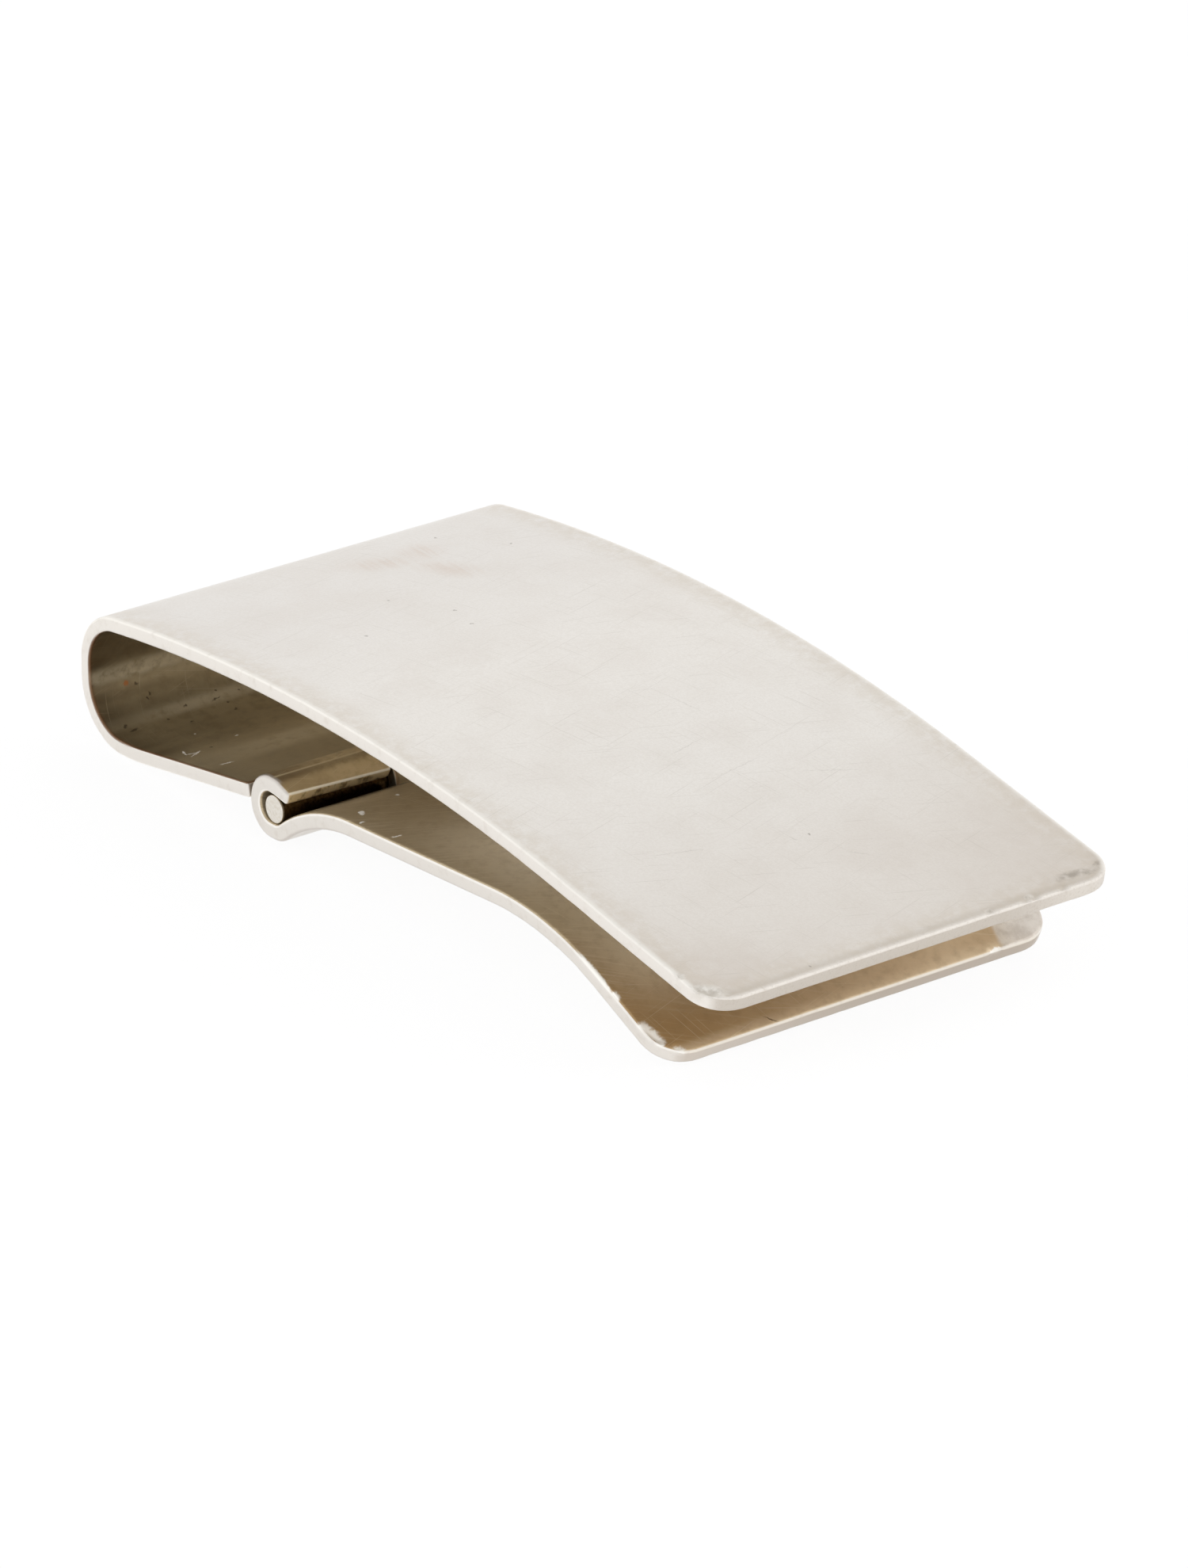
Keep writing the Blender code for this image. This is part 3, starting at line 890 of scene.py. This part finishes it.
    rim = finish.rim().most(front * inset.rise(0.12, 0.0)).most(chips)
    rim = rim * (1.0 - tip * finish.facing.rise(0.75, 0.95))
    dull = finish.inside.most(rolled)
    face = finish.blend(dull, satin, tarnish)
    lacklustre = (dull * (1.0 - rim) * (1.0 - 0.7 * bared)).most(0.8 * chips).most(tip)
    dusty = rolled.most(tip).most(lint)
    finish.complete(face, bright, rim, dull, lacklustre, dusty, lining_roughness=0.3)
    return finish.material


def pin_silver():
    """The pin: bright at its two filed ends, and painted dark inside the knuckles as shade."""
    finish = Finish("pin_silver")
    place = finish.place()
    grain = finish.noise(place, 6.0, detail=3.0)
    _, across, _ = finish.add("ShaderNodeSeparateXYZ", {}, {0: place}).siblings()
    end = abs(across).rise(HALF_WIDTH - 0.25, HALF_WIDTH - 0.12)
    bright = finish.blend(grain.rise(0.3, 0.7), colour(238, 233, 224), colour(226, 219, 206))
    # Painted shade: the pin is dark where the knuckles hide it
    in_shade = finish.blend(grain.rise(0.3, 0.7), colour(112, 90, 60), colour(80, 62, 40))
    finish.feed(finish.shader.inputs["Base Color"], finish.blend(end, in_shade, bright))
    finish.shader.inputs["Metallic"].default_value = 1.0
    finish.feed(finish.shader.inputs["Roughness"], 0.25 + 0.15 * grain)
    return finish.material


def table_white():
    """White to the metal that mirrors it, and darkened a little by the clip's shadow.

    It is almost clear to the camera, so that an opened leaf and the clip's underside show through it.
    """
    finish = Finish("table_white")
    finish.shader.inputs["Base Color"].default_value = (0.9, 0.9, 0.9, 1.0)
    finish.shader.inputs["Roughness"].default_value = 0.9
    seen = finish.ray("Camera")
    glow = finish.add("ShaderNodeEmission", {}, {"Color": WHITE, "Strength": BACKDROP_STRENGTH})
    clear = finish.add("ShaderNodeBsdfTransparent", {}, {})
    backdrop = finish.add("ShaderNodeMixShader", {}, {0: seen, 1: glow, 2: clear})
    lit = Socket(finish, finish.shader.outputs[0])
    share = 0.9 * seen.most(0.7 * finish.ray("Glossy")).most(finish.ray("Transmission"))
    mixed = finish.add("ShaderNodeMixShader", {}, {0: share, 1: lit, 2: backdrop})
    finish.feed(finish.tree.nodes["Material Output"].inputs["Surface"], mixed)
    return finish.material


def table():
    mesh = bmesh.new()
    bmesh.ops.create_grid(mesh, x_segments=1, y_segments=1, size=TABLE_HALF_SIZE)
    data = bpy.data.meshes.new("table")
    mesh.to_mesh(data)
    mesh.free()
    data.materials.append(table_white())
    piece = bpy.data.objects.new("table", data)
    piece.location.z = -TABLE_DROP
    bpy.context.scene.collection.objects.link(piece)


def softbox(name, azimuth, elevation, power, mirrored=True):
    """A square lamp that looks at the clip from the given side, in degrees and watts."""
    data = bpy.data.lights.new(name, "AREA")
    data.size = LAMP_SIZE
    data.energy = power
    lamp = bpy.data.objects.new(name, data)
    side = Matrix.Rotation(radians(azimuth), 4, "Z") @ Matrix.Rotation(radians(90 - elevation), 4, "X")
    lamp.matrix_world = side @ Matrix.Translation((0.0, 0.0, LAMP_DISTANCE))
    lamp.visible_glossy = mirrored
    bpy.context.scene.collection.objects.link(lamp)


def studio():
    """A white tent, brighter at the level of the table than overhead, and four soft lamps.

    Two of the lamps aren't mirrored in the metal, which they would turn white from the side.
    """
    world = bpy.data.worlds.new("white_tent")
    world.use_nodes = True
    tent = Nodes(world.node_tree)
    direction = tent.add("ShaderNodeTexCoord", {}, {}, output="Generated")
    upward = tent.add("ShaderNodeSeparateXYZ", {}, {0: direction}, output="Z")
    dimming = tent.add(
        "ShaderNodeMapRange", {}, {"Value": upward, "From Max": 0.9, "To Min": 0.98, "To Max": 0.78},
    )
    background = tent.tree.nodes["Background"]
    background.inputs["Color"].default_value = WHITE
    strength = tent.between(tent.ray("Camera"), dimming, BACKDROP_STRENGTH)
    tent.feed(background.inputs["Strength"], strength)
    bpy.context.scene.world = world
    softbox("left_light", -62.0, 32.0, 0.12)
    softbox("back_light", 144.0, 45.0, 0.2)
    softbox("far_light", 150.0, 10.0, 4.0, mirrored=False)
    softbox("near_light", 8.0, 22.0, 1.8, mirrored=False)
    bpy.context.scene.view_settings.view_transform = "Standard"


def camera():
    data = bpy.data.cameras.new("camera")
    data.lens = CAMERA_LENS
    data.clip_start = NEAREST_SEEN
    viewpoint = bpy.data.objects.new("camera", data)
    turn = (
        Matrix.Rotation(CAMERA_AZIMUTH, 4, "Z")
        @ Matrix.Rotation(radians(90) - CAMERA_ELEVATION, 4, "X")
        @ Matrix.Rotation(CAMERA_ROLL, 4, "Z")
    )
    viewpoint.matrix_world = (
        Matrix.Translation(CAMERA_AIM * MM) @ turn @ Matrix.Translation((0.0, 0.0, CAMERA_DISTANCE * MM))
    )
    bpy.context.scene.collection.objects.link(viewpoint)
    bpy.context.scene.camera = viewpoint


def dress(piece, body, node, material):
    """Gives a piece its material, and puts it in the place of its solid."""
    piece.data.materials.append(material)
    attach(piece, body)
    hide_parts(node)


dress(spring_body(), "body", "spring_body", satin_silver())
dress(clip_leaf(), "leaf", "clip_leaf", worn_silver())
dress(hinge_pin(), "body", "hinge_pin", pin_silver())
table()
studio()
camera()
